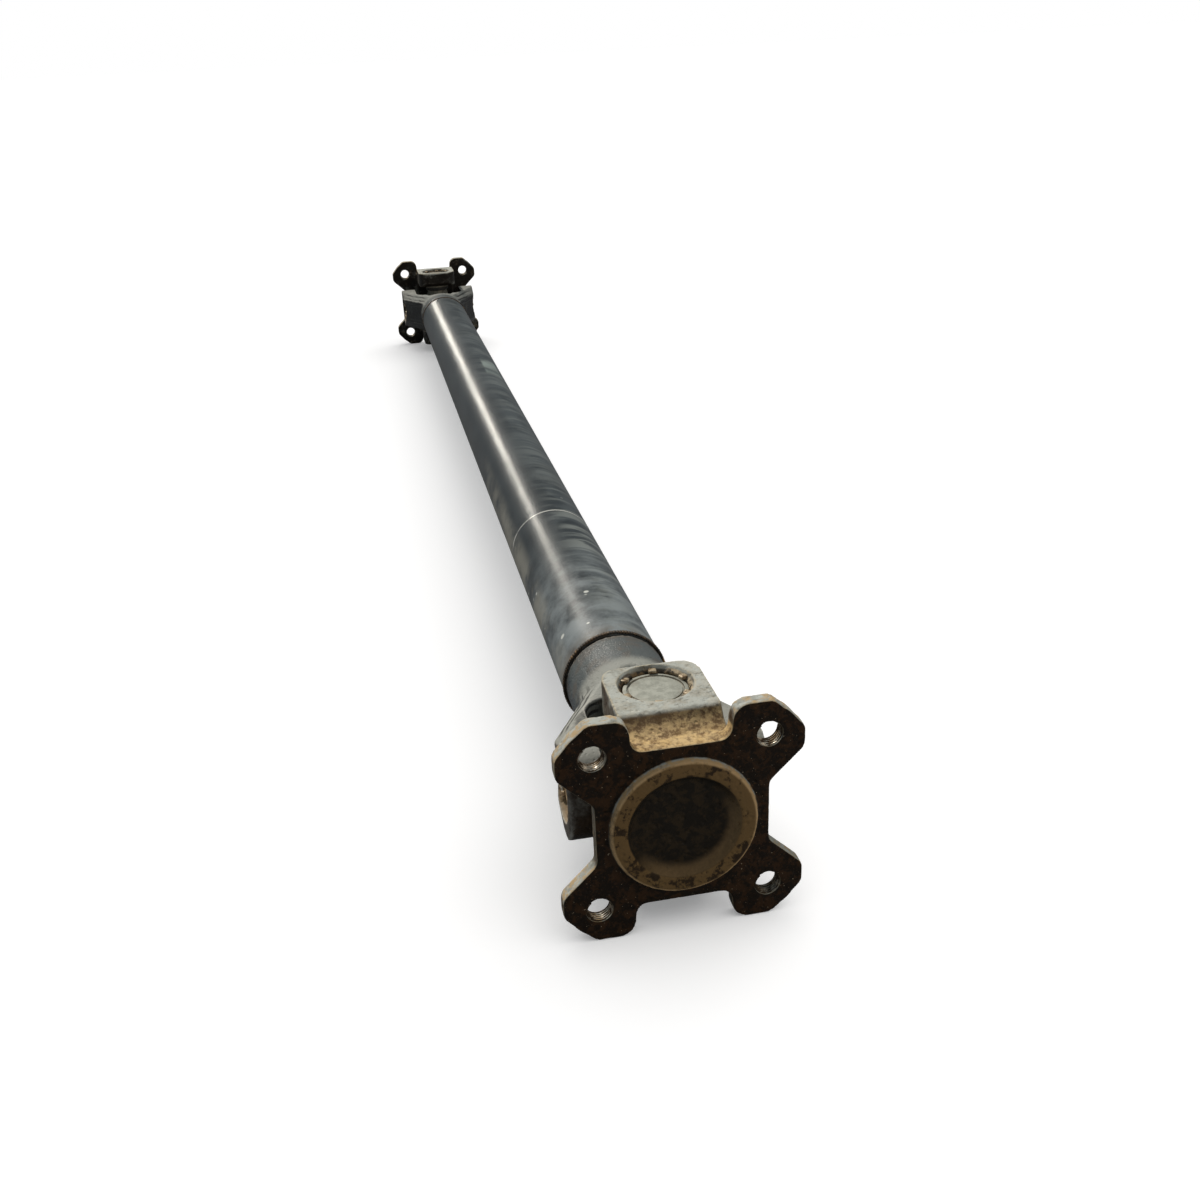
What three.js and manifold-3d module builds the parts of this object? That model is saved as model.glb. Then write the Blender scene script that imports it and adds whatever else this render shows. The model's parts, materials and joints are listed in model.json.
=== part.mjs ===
// Universal joint shaft: a straight steel tube with a Cardan joint and a bolted flange at each end.
// Millimetres, +Z up. The shaft's axis lies along Y and the near flange faces -Y. The origin is on
// the axis, half way between the two flange faces.
//
// Each end is drawn in a frame of its own: y = 0 is the flange face and +Y runs into the shaft.
// The flange yoke's lugs stand above and below the axis, the tube yoke's lugs to the left and
// right of it, and the cross between them turns in four bearing cups.

import * as THREE from 'three';
import { mergeVertices } from 'three/addons/utils/BufferGeometryUtils.js';
import Module from 'manifold-3d';

const wasm = await Module();
wasm.setup();

// ---- Driving dimensions ------------------------------------------------------------------

const faceToFace = 1172;          // between the two flange faces
const gap = 0.3;                  // left between pieces that touch on the real shaft

const boltSpacing = 70;           // the bolt holes stand on a square of this side
const boltHoleRadius = 5.25;
const flangeThickness = 7;
const flangeTipRadius = 61.7;     // the diagonal ear tips are turned to this radius
const earReach = 49.8;            // half the flange's width and height
const waistReach = 35.3;          // half its width between the ears, left and right
const scoopFloor = 35.3;          // height of the wrench scoops above and below the axis
const scoopDepth = 13.5;          // how far a scoop runs back before its floor sweeps up to the lug

const bossRadius = 30;            // centring boss on the flange face
const bossHeight = 3.15;
const dishLipRadius = 23.2;
const dishFloorRadius = 20.5;
const dishDepth = 3;

const jointCentre = 41.5;         // from the flange face to the crossing of the two pin axes
const lugFace = 42;               // from the joint centre to the outer face of every lug
const lugInnerFace = 26;
const lugHalfWidth = 21.2;        // of the flange yoke's lugs
const lugReach = 18;              // from the joint centre to the end of the flange yoke's lugs
const lugCornerRadius = 11;
const armHalfWidth = 20.3;        // of the tube yoke's lugs
const armReach = 19.5;            // from the joint centre to the end of the tube yoke's lugs
const armCornerRadius = 11;

const cupRadius = 13.9;
const cupFace = 38.9;             // from the joint centre to the closed face of a bearing cup
const cupMouth = 24;
const cupFloor = 2.5;             // thickness of the closed end
const cupBoreRadius = 11;
const lugBoreRadius = cupRadius + gap;
const rimRadius = 15.8;           // the staking groove round a lug bore
const rimDepth = 2.7;

const trunnionRadius = 8;
const trunnionEnd = 35;
const shoulderRadius = 11;
const shoulderEnd = 20.3;
const reservoirRadius = 2;        // grease reservoir drilled into each trunnion
const reservoirDepth = 12;
const needleCount = 12;
const needleRadius = 1.2;

const tubeRadius = 25;
const tubeWall = 2.5;
const neckRadius = 24.5;
const weldPlane = 127;            // from the flange face to the middle of the weld
const weldWidth = 2.6;
const throatPlane = 73.5;         // bottom of the tube yoke's throat
const throatCornerRadius = 11;
const spigotLength = 18;
const slopeStart = 54;            // the arms' outer faces slope inwards from here
const slopeEnd = 90;              // and run into the neck here,
const slopeEndReach = 21.9;       // at this distance from the axis
const armBevelDepth = 5;

const weightLength = 26;          // balance weight, spot welded under the tube
const weightAngle = 0.8;
const weightThickness = 2.2;

const tubeBore = tubeRadius - tubeWall;
const spigotRadius = tubeBore - gap;
const tubeStart = weldPlane + weldWidth / 2 + gap;
const neckEnd = weldPlane - weldWidth / 2 - gap;

// ---- Finishes ----------------------------------------------------------------------------

const finishes = {
  tubePaint: { color: 0x20262b, roughness: 0.42, metalness: 0.25 },
  forging: { color: 0x6f6c63, roughness: 0.75, metalness: 0.4 },
  rustyForging: { color: 0x2e2118, roughness: 0.85, metalness: 0.3 },
  bearingSteel: { color: 0x9a9a94, roughness: 0.45, metalness: 0.8 },
  weld: { color: 0x3a2d24, roughness: 0.8, metalness: 0.4 },
  sealRubber: { color: 0x141414, roughness: 0.8, metalness: 0 },
  washerPlastic: { color: 0xd8d0b8, roughness: 0.6, metalness: 0 },
};

// ---- Geometry helpers --------------------------------------------------------------------

const axisX = new THREE.Vector3(1, 0, 0);
const axisY = new THREE.Vector3(0, 1, 0);
const axisZ = new THREE.Vector3(0, 0, 1);

// A closed three.js geometry as a solid that can be joined and cut.
function solidOf(geometry) {
  const bare = geometry.clone();
  bare.deleteAttribute('normal');
  bare.deleteAttribute('uv');
  const merged = mergeVertices(bare, 1e-4);
  return new wasm.Manifold(new wasm.Mesh({
    numProp: 3,
    vertProperties: new Float32Array(merged.attributes.position.array),
    triVerts: new Uint32Array(merged.index.array),
  }));
}

// The solid's surface as a three.js geometry.
function geometryOf(solid) {
  const surface = solid.getMesh();
  const geometry = new THREE.BufferGeometry();
  geometry.setAttribute('position', new THREE.BufferAttribute(surface.vertProperties, 3));
  geometry.setIndex(new THREE.BufferAttribute(surface.triVerts, 1));
  geometry.computeVertexNormals();
  return geometry;
}

// A closed outline through corners [u, v, radius], each rounded with an arc of its radius.
function roundedOutline(corners) {
  const outline = new THREE.Shape();
  const count = corners.length;
  corners.forEach(([u, v, radius], index) => {
    const corner = new THREE.Vector2(u, v);
    const [lastU, lastV] = corners[(index + count - 1) % count];
    const [nextU, nextV] = corners[(index + 1) % count];
    const toLast = new THREE.Vector2(lastU, lastV).sub(corner).normalize();
    const toNext = new THREE.Vector2(nextU, nextV).sub(corner).normalize();
    const halfAngle = Math.acos(THREE.MathUtils.clamp(toLast.dot(toNext), -1, 1)) / 2;
    const start = toLast.clone().multiplyScalar(radius / Math.tan(halfAngle)).add(corner);
    if (index === 0) outline.moveTo(start.x, start.y);
    else outline.lineTo(start.x, start.y);
    if (radius === 0) return;
    const end = toNext.clone().multiplyScalar(radius / Math.tan(halfAngle)).add(corner);
    const inward = toLast.clone().add(toNext).normalize();
    const centre = inward.multiplyScalar(radius / Math.sin(halfAngle)).add(corner);
    const from = start.clone().sub(centre).angle();
    const to = end.clone().sub(centre).angle();
    outline.absarc(centre.x, centre.y, radius, from, to, toLast.cross(toNext) > 0);
  });
  outline.closePath();
  return outline;
}

// Corners given for the quarter u > 0, v > 0, from the v axis round to the u axis, on all four.
function mirroredTwice(quarter) {
  const lower = quarter.map(([u, v, radius]) => [u, -v, radius]).reverse();
  const right = [...quarter, ...lower];
  const left = right.map(([u, v, radius]) => [-u, v, radius]).reverse();
  return [...right, ...left];
}

// An outline pushed through a depth. The outline's own two directions and the push direction are
// laid along the three vectors of the basis, and the result is centred on the origin.
function extrusion(outline, depth, basis, curveSegments) {
  const geometry = new THREE.ExtrudeGeometry(outline, { depth, curveSegments, bevelEnabled: false });
  geometry.translate(0, 0, -depth / 2);
  geometry.applyMatrix4(new THREE.Matrix4().makeBasis(...basis));
  return geometry;
}

// Outline in (x, z), thick along Y between two planes.
function plateAcrossY(outline, from, to, curveSegments = 2) {
  const basis = [axisX, axisZ, axisY.clone().negate()];
  return extrusion(outline, to - from, basis, curveSegments).translate(0, (from + to) / 2, 0);
}

// Outline in (y, z), thick along X on both sides of the axis.
function slabAcrossX(outline, width, curveSegments = 2) {
  return extrusion(outline, width, [axisY, axisZ, axisX], curveSegments);
}

// Outline in (x, y), thick along Z on both sides of the axis.
function slabAcrossZ(outline, height, curveSegments = 2) {
  return extrusion(outline, height, [axisX, axisY, axisZ], curveSegments);
}

// A closed profile of [radius, height] points turned about the Y axis.
function turned(profile, segments) {
  const points = profile.map(([radius, height]) => new THREE.Vector2(radius, height));
  if (profile[0][0] > 0) points.push(points[0].clone());
  return new THREE.LatheGeometry(points, segments);
}

function rod(radius, from, to, segments) {
  return turned([[0, from], [radius, from], [radius, to], [0, to]], segments);
}

function piece(name, geometry, finish) {
  const mesh = new THREE.Mesh(geometry, new THREE.MeshStandardMaterial(finish));
  mesh.name = name;
  return mesh;
}

// ---- Lugs --------------------------------------------------------------------------------

// Turns a geometry made along +Y so that it points along the given direction.
function pointed(geometry, direction) {
  const turn = new THREE.Quaternion().setFromUnitVectors(axisY, direction);
  return geometry.applyQuaternion(turn);
}

// The bore through one lug: the cup's hole, and the steep-sided groove round its outer rim.
function boreCutter(direction) {
  const profile = [
    [0, lugInnerFace - 12],
    [lugBoreRadius, lugInnerFace - 12],
    [lugBoreRadius, lugFace - rimDepth],
    [rimRadius - 0.5, lugFace - rimDepth],
    [rimRadius, lugFace],
    [rimRadius, lugFace + 5],
    [0, lugFace + 5],
  ];
  return solidOf(pointed(turned(profile, 28), direction).translate(0, jointCentre, 0));
}

// The staked tabs: metal peened over the edge of the cup from the rim of the bore.
function stakes(direction) {
  const tabHeight = 1.3;
  const tabRadial = 3.4;
  const tabWidth = 6;
  const tabMiddle = 14.7;
  const tabs = [];
  for (let quarter = 0; quarter < 4; quarter += 1) {
    const tab = new THREE.BoxGeometry(tabRadial, tabHeight, tabWidth);
    tab.translate(tabMiddle, cupFace + gap + tabHeight / 2, 0);
    tab.rotateY(Math.PI / 4 + quarter * Math.PI / 2);
    tabs.push(solidOf(pointed(tab, direction).translate(0, jointCentre, 0)));
  }
  return tabs;
}

// Cuts both bores of a yoke and leaves the stakes over them.
function withBores(yoke, directions) {
  let result = yoke;
  for (const direction of directions) {
    result = result.subtract(boreCutter(direction));
    for (const tab of stakes(direction)) result = result.add(tab);
  }
  return result;
}

const upAndDown = [axisZ, axisZ.clone().negate()];
const leftAndRight = [axisX, axisX.clone().negate()];

// ---- Flange yoke -------------------------------------------------------------------------

// A four-eared flange, waisted left and right, with a scoop for the wrench above and below.
function flangeOutline() {
  const tip = flangeTipRadius / Math.SQRT2;
  return roundedOutline(mirroredTwice([
    [19.3, scoopFloor, 5],
    [20.8, earReach, 7],
    [36.4, earReach, 5],
    [tip, tip, 0],
    [earReach, 36.4, 5],
    [earReach, 27.4, 6],
    [waistReach, 13.6, 6],
  ]));
}

// The lugs and the web that joins them, seen from the side: a C open towards the shaft.
function flangeLugSide() {
  const lugEnd = jointCentre + lugReach;
  const webStart = 1;
  const webThickness = 9;
  const endChamfer = 3.2;
  const floorBehindFlange = scoopFloor - 0.4;
  const upper = [
    [webStart, floorBehindFlange, 0],
    [scoopDepth, floorBehindFlange, 12],
    [scoopDepth + 4.5, lugFace, 1.2],
    [lugEnd, lugFace, 2],
    [lugEnd, lugInnerFace + endChamfer, 0],
    [lugEnd - endChamfer, lugInnerFace, 0],
    [webThickness, lugInnerFace, 10],
  ];
  const lower = upper.map(([y, z, radius]) => [y, -z, radius]).reverse();
  return roundedOutline([...upper, ...lower]);
}

// The same lugs seen from above: parallel sides and a rounded end.
function lugPlan(start, end, radius) {
  return roundedOutline([
    [-lugHalfWidth, start, 0],
    [lugHalfWidth, start, 0],
    [lugHalfWidth, end, radius],
    [-lugHalfWidth, end, radius],
  ]);
}

function flangeYoke() {
  const bossFront = -bossHeight;
  const boss = turned([
    [0, bossFront + dishDepth],
    [dishFloorRadius, bossFront + dishDepth],
    [dishLipRadius, bossFront],
    [bossRadius - 0.8, bossFront],
    [bossRadius, bossFront + 0.8],
    [bossRadius, flangeThickness / 2],
    [0, flangeThickness / 2],
  ], 40);
  const lugSide = solidOf(slabAcrossX(flangeLugSide(), 2 * lugHalfWidth, 3));
  const plan = lugPlan(-1, jointCentre + lugReach, lugCornerRadius);
  const lugs = lugSide.intersect(solidOf(slabAcrossZ(plan, 3 * lugFace, 5)));
  let yoke = solidOf(plateAcrossY(flangeOutline(), 0, flangeThickness, 5)).add(lugs);
  yoke = yoke.add(solidOf(boss));
  const hole = rod(boltHoleRadius, -5, flangeThickness + 5, 24);
  for (const x of [-1, 1]) {
    for (const z of [-1, 1]) {
      const placed = hole.clone().translate(x * boltSpacing / 2, 0, z * boltSpacing / 2);
      yoke = yoke.subtract(solidOf(placed));
    }
  }
  return geometryOf(withBores(yoke, upAndDown));
}

// ---- Tube yoke ---------------------------------------------------------------------------

// The two arms seen from above, running back and inwards to the neck.
function armPlan() {
  const armEnd = jointCentre - armReach;
  return roundedOutline([
    [-lugFace, armEnd, 2.5],
    [lugFace, armEnd, 2.5],
    [lugFace, slopeStart, 10],
    [slopeEndReach, slopeEnd, 14],
    [slopeEndReach, slopeEnd + 8, 0],
    [-slopeEndReach, slopeEnd + 8, 0],
    [-slopeEndReach, slopeEnd, 14],
    [-lugFace, slopeStart, 10],
  ]);
}

// The arms seen from the side: rounded front corners, and a little taller at the neck.
function armSide() {
  const armEnd = jointCentre - armReach;
  const rootHalf = neckRadius - 3.5;
  return roundedOutline([
    [armEnd, -armHalfWidth, armCornerRadius],
    [slopeEnd + 12, -rootHalf, 0],
    [slopeEnd + 12, rootHalf, 0],
    [armEnd, armHalfWidth, armCornerRadius],
  ]);
}

// A block that bevels the long outer edges of the arms, above and below the axis.
function armBevels() {
  const slope = new THREE.Vector2(lugFace - slopeEndReach, slopeEnd - slopeStart);
  const outward = new THREE.Vector3(slope.y, slope.x, 0).normalize();
  const blocks = [];
  for (const x of [-1, 1]) {
    for (const z of [-1, 1]) {
      const facing = new THREE.Vector3(x * outward.x, outward.y, z).normalize();
      const block = new THREE.BoxGeometry(160, 40, 160).translate(0, 20, 0);
      const edge = new THREE.Vector3(x * lugFace, slopeStart, z * armHalfWidth);
      edge.addScaledVector(facing, -armBevelDepth);
      blocks.push(solidOf(pointed(block, facing).translate(edge.x, edge.y, edge.z)));
    }
  }
  return blocks;
}

// The throat between the arms, where the cross and the flange yoke's lugs swing.
function throatPlan() {
  return roundedOutline([
    [-lugInnerFace, -20, 0],
    [lugInnerFace, -20, 0],
    [lugInnerFace, throatPlane, throatCornerRadius],
    [-lugInnerFace, throatPlane, throatCornerRadius],
  ]);
}

// The hollow above or below the throat, where the neck falls away between the arms.
function saddleCutter(side) {
  const hollow = new THREE.SphereGeometry(1, 20, 12);
  hollow.scale(23, 37, 20);
  return solidOf(hollow.translate(0, 62, side * 34));
}

function tubeYoke() {
  const neckStart = throatPlane - 6;
  const spigotEnd = neckEnd + spigotLength;
  const recessRadius = 14;
  const neck = turned([
    [0, neckStart],
    [neckRadius - 4, neckStart],
    [neckRadius, neckStart + 8],
    [neckRadius, neckEnd],
    [spigotRadius, neckEnd],
    [spigotRadius, spigotEnd - 1.5],
    [spigotRadius - 1.5, spigotEnd],
    [recessRadius, spigotEnd],
    [recessRadius - 2, spigotEnd - 40],
    [0, spigotEnd - 44],
  ], 36);
  const arms = solidOf(slabAcrossZ(armPlan(), 3 * armHalfWidth, 4));
  let yoke = arms.intersect(solidOf(slabAcrossX(armSide(), 3 * lugFace, 4)));
  for (const bevel of armBevels()) yoke = yoke.subtract(bevel);
  yoke = yoke.add(solidOf(neck));
  yoke = yoke.subtract(solidOf(slabAcrossZ(throatPlan(), 3 * neckRadius, 3)));
  yoke = yoke.subtract(saddleCutter(1)).subtract(saddleCutter(-1));
  return geometryOf(withBores(yoke, leftAndRight));
}

// ---- Cross and bearings ------------------------------------------------------------------

// One straight pin of the cross: two trunnions with their shoulders, along the given direction.
function crossPin(direction) {
  const half = [
    [shoulderRadius + 2, 12],
    [shoulderRadius, shoulderEnd],
    [trunnionRadius, shoulderEnd],
    [trunnionRadius, trunnionEnd - 1],
    [trunnionRadius - 1, trunnionEnd],
    [0, trunnionEnd],
  ];
  const mirrored = half.map(([radius, height]) => [radius, -height]).reverse();
  return solidOf(pointed(turned([...mirrored, ...half], 16), direction));
}

function cross() {
  const hubRadius = 17;
  const hubHalf = 11;
  const hub = turned([
    [0, -hubHalf],
    [hubRadius - 4, -hubHalf],
    [hubRadius, -hubHalf + 4],
    [hubRadius, hubHalf - 4],
    [hubRadius - 4, hubHalf],
    [0, hubHalf],
  ], 20);
  let body = solidOf(hub).add(crossPin(axisX)).add(crossPin(axisZ));
  for (const direction of [...upAndDown, ...leftAndRight]) {
    const reservoir = rod(reservoirRadius, trunnionEnd - reservoirDepth, trunnionEnd + 1, 8);
    body = body.subtract(solidOf(pointed(reservoir, direction)));
  }
  return geometryOf(body).translate(0, jointCentre, 0);
}

// Drawn steel cup: closed end outwards, with a turned groove in its face.
function bearingCup() {
  const grooveInner = 11.9;
  const grooveOuter = 12.9;
  const floorInside = cupFace - cupFloor;
  return turned([
    [0, floorInside],
    [cupBoreRadius, floorInside],
    [cupBoreRadius, cupMouth],
    [cupRadius, cupMouth],
    [cupRadius, cupFace - 0.8],
    [grooveOuter + 0.4, cupFace - 0.2],
    [grooveOuter, cupFace - 0.7],
    [grooveInner, cupFace - 0.7],
    [grooveInner - 0.3, cupFace],
    [0, cupFace],
  ], 20);
}

// The full set of needle rollers as one ring: its lobes are the rollers, side by side.
function needleRing() {
  const pitch = (trunnionRadius + cupBoreRadius) / 2;
  const ring = (radius, side) => {
    const points = [];
    for (let needle = 0; needle < needleCount; needle += 1) {
      const angle = needle * 2 * Math.PI / needleCount;
      const valley = angle + Math.PI / needleCount;
      const low = radius - side * needleRadius * 0.4;
      points.push(new THREE.Vector2(radius * Math.cos(angle), radius * Math.sin(angle)));
      points.push(new THREE.Vector2(low * Math.cos(valley), low * Math.sin(valley)));
    }
    return points;
  };
  const outline = new THREE.Shape(ring(pitch + needleRadius, 1));
  outline.holes.push(new THREE.Path(ring(pitch - needleRadius + 0.1, -1)));
  const needleStart = cupMouth + 1;
  const needleEnd = trunnionEnd - 0.6;
  return plateAcrossY(outline, needleStart, needleEnd);
}

// Washer of hard plastic between the end of the trunnion and the floor of the cup.
function thrustWasher() {
  const from = trunnionEnd + gap;
  const to = cupFace - cupFloor - gap;
  return turned([[2.5, from], [10.3, from], [10.3, to], [2.5, to]], 12);
}

// Rubber seal between the shoulder of the cross and the mouth of the cup.
function lipSeal() {
  const from = shoulderEnd + gap;
  const to = cupMouth - gap;
  return turned([
    [trunnionRadius + 0.4, from + 0.6],
    [trunnionRadius + 1.4, from],
    [12.2, from],
    [13.2, from + 1],
    [13.2, to],
    [trunnionRadius + 0.4, to],
  ], 16);
}

// ---- Tube, weld and balance weights ------------------------------------------------------

function driveTube() {
  const half = faceToFace / 2 - tubeStart;
  return turned([[tubeBore, -half], [tubeRadius, -half], [tubeRadius, half], [tubeBore, half]], 48);
}

function weldBead() {
  const crown = tubeRadius + 0.9;
  const from = weldPlane - weldWidth / 2;
  const to = weldPlane + weldWidth / 2;
  return turned([
    [tubeBore, from],
    [tubeRadius - 0.3, from],
    [crown, from + weldWidth * 0.3],
    [crown, to - weldWidth * 0.3],
    [tubeRadius, to],
    [tubeBore, to],
  ], 36);
}

// A short curved strip that follows the underside of the tube.
function balanceWeight(from) {
  const inner = tubeRadius + gap;
  const outer = inner + weightThickness;
  const start = -Math.PI / 2 - weightAngle / 2;
  const outline = new THREE.Shape();
  outline.absarc(0, 0, outer, start, start + weightAngle, false);
  outline.absarc(0, 0, inner, start + weightAngle, start, true);
  outline.closePath();
  return plateAcrossY(outline, from, from + weightLength, 4);
}

// ---- One end of the shaft ----------------------------------------------------------------

// name is near or far, and right is the side that the end frame's +X comes out on.
function shaftEnd(name, right, left) {
  const end = new THREE.Group();
  end.add(piece(`${name}_flange_yoke`, flangeYoke(), finishes.rustyForging));
  end.add(piece(`${name}_tube_yoke`, tubeYoke(), finishes.forging));
  end.add(piece(`${name}_weld_bead`, weldBead(), finishes.weld));
  end.add(piece(`${name}_cross`, cross(), finishes.bearingSteel));
  end.add(piece(`${name}_balance_weight`, balanceWeight(tubeStart + 22), finishes.forging));
  const directions = {
    top: axisZ,
    bottom: axisZ.clone().negate(),
    [right]: axisX,
    [left]: axisX.clone().negate(),
  };
  for (const [side, direction] of Object.entries(directions)) {
    const bearing = new THREE.Group();
    bearing.position.set(0, jointCentre, 0);
    bearing.quaternion.setFromUnitVectors(axisY, direction);
    bearing.add(piece(`${name}_${side}_cup`, bearingCup(), finishes.bearingSteel));
    bearing.add(piece(`${name}_${side}_needles`, needleRing(), finishes.bearingSteel));
    bearing.add(piece(`${name}_${side}_thrust_washer`, thrustWasher(), finishes.washerPlastic));
    bearing.add(piece(`${name}_${side}_seal`, lipSeal(), finishes.sealRubber));
    end.add(bearing);
  }
  return end;
}

const shaft = new THREE.Group();
shaft.add(piece('drive_tube', driveTube(), finishes.tubePaint));

const nearEnd = shaftEnd('near', 'right', 'left');
nearEnd.position.set(0, -faceToFace / 2, 0);
shaft.add(nearEnd);

const farEnd = shaftEnd('far', 'left', 'right');
farEnd.position.set(0, faceToFace / 2, 0);
farEnd.rotation.z = Math.PI;
shaft.add(farEnd);

export default shaft;
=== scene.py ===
# %% [markdown]
# # A universal joint shaft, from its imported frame
# A drive shaft carries torque between two axes that don't quite line up. Here it is a painted steel
# tube with a cross-shaped joint at each end, and each joint ends in a forged flange with four bolt
# holes. The frame gives every part's true size and place. This lesson keeps those and adds what a
# frame can't show: forged skin, staked bearing caps, a rippled weld, worn paint, rust and dust.

# %% Load the frame
import json
import math

import bmesh
import bpy
from mathutils import Matrix, Vector


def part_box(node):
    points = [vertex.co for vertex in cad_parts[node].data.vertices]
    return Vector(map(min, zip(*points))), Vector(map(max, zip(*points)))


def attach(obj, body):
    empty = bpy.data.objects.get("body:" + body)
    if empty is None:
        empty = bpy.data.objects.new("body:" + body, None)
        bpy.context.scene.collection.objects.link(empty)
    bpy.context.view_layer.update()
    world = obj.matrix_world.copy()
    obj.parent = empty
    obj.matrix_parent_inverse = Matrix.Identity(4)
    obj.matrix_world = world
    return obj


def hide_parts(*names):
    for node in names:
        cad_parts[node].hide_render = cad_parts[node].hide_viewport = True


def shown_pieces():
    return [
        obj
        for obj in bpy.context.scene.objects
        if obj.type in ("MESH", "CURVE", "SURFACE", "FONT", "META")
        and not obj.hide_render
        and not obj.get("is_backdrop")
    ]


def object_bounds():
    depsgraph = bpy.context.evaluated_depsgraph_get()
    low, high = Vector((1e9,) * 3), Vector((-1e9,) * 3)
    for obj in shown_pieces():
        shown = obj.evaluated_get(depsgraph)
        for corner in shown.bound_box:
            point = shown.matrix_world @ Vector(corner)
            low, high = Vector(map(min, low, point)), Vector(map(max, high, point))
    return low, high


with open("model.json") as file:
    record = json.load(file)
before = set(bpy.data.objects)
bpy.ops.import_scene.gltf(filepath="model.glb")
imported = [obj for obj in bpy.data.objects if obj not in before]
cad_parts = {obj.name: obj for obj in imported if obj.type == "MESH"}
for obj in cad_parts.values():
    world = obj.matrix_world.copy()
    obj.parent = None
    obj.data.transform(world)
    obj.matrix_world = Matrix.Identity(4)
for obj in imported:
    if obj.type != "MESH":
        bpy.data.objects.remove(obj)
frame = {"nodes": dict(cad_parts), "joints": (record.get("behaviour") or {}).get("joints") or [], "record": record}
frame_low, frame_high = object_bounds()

scene = bpy.context.scene
nodes = frame["nodes"]
mm = 0.001
print("frame:", [round(x / mm, 1) for x in (*frame_low, *frame_high)], "mm")

# %% [markdown]
# ## Where things are
# Nothing is measured by hand. The joint centres come from the hinges, and the radii and planes come
# from the boxes round the frame's nodes, so a change to the frame carries through to every piece.

# %% Read the main places and sizes from the frame
ends = ("near", "far")
end_sign = {"near": -1.0, "far": 1.0}
hinge_at = {joint["name"]: Vector(joint["pos_m"]) for joint in frame["joints"]}
joint_centre = {end: hinge_at[f"{end}_cross_in_tube_yoke"] for end in ends}
shaft_body = "tube_and_tube_yokes"
tube_low, tube_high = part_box("drive_tube")
tube_radius = tube_high.x
flange_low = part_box("near_flange_yoke")[0]
mount_at = {mount["name"]: Vector(mount["pos_m"]) for mount in frame["record"]["mounts"]}
face_plane = abs(mount_at["near_flange_face"].y)
hole_spacing = 70 * mm
hole_radius = 5.25 * mm
flange_thickness = 7 * mm
print("tube radius", round(tube_radius / mm, 2), "mm, flange faces at +-", round(face_plane, 4), "m")

# %% [markdown]
# ## The camera
# A normal lens close to the near flange makes the far end look small, and that strong perspective
# tells the eye that the shaft is over a metre long. The camera is level to within a few degrees.

# %% Place the camera
camera_place = Vector((-0.1029, -0.9839, 0.2806))
camera_turn = [math.radians(angle) for angle in (65.953, 2.464, -11.605)]
camera_data = bpy.data.cameras.new("camera")
camera_data.lens = 37.4
camera_data.sensor_width = 36
camera_data.clip_start = 0.01
camera = bpy.data.objects.new("camera", camera_data)
camera.location = camera_place
camera.rotation_euler = camera_turn
scene.collection.objects.link(camera)
scene.camera = camera

# %% [markdown]
# ## The floor and the light
# The shaft lies on its flange ears on a wide white floor. A warm key light behind the shaft lights
# what faces up and leaves the front of the near flange in shade. A weak second sun stands where the
# tube mirrors it to the camera, and draws one narrow line of light along it. Two soft boxes open
# up the shade. The floor has a light of its own, as wide as an overcast sky, for a soft shadow.
# Light linking keeps each of them to its own job, as flags would in a studio.

# %% Lay the floor
floor_level = flange_low.z
floor_half = 60.0
floor_corners = [(-floor_half, -floor_half), (floor_half, -floor_half),
                 (floor_half, floor_half), (-floor_half, floor_half)]
floor_mesh = bpy.data.meshes.new("floor")
floor_mesh.from_pydata([(x, y, floor_level) for x, y in floor_corners], [], [(0, 1, 2, 3)])
floor = bpy.data.objects.new("floor", floor_mesh)
scene.collection.objects.link(floor)
floor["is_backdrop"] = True


# %% Set up the lights
def soft_box(name, place, aim, width, power, colour):
    data = bpy.data.lights.new(name, "AREA")
    data.shape = "SQUARE"
    data.size = width
    data.energy = power
    data.color = colour
    lamp = bpy.data.objects.new(name, data)
    lamp.location = place
    lamp.rotation_euler = (Vector(aim) - Vector(place)).to_track_quat("-Z", "Y").to_euler()
    scene.collection.objects.link(lamp)
    return lamp


def sun(name, towards, strength, spread, colour):
    data = bpy.data.lights.new(name, "SUN")
    data.energy = strength
    data.angle = math.radians(spread)
    data.color = colour
    lamp = bpy.data.objects.new(name, data)
    lamp.rotation_euler = Vector(towards).to_track_quat("Z", "Y").to_euler()
    scene.collection.objects.link(lamp)
    return lamp


side_box = soft_box("side box", place=(1.6, 0.4, 1.3), aim=(0, 0, 0), width=0.9, power=6,
                    colour=(1.0, 0.98, 0.95))
front_box = soft_box("front box", place=(1.1, -1.5, 0.55), aim=(0, -0.55, 0), width=0.4, power=4,
                     colour=(1.0, 0.90, 0.76))
key = sun("key", towards=(-0.30, 0.56, 0.77), strength=3.6, spread=6, colour=(1.0, 0.95, 0.87))
shine = sun("shine along the tube", towards=(-0.17, 0.95, 0.25), strength=0.28, spread=4,
            colour=(1.0, 0.95, 0.84))
floor_light = sun("floor light", towards=(0.20, 0.02, 0.97), strength=2.5, spread=95,
                  colour=(1.0, 1.0, 1.0))

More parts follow.
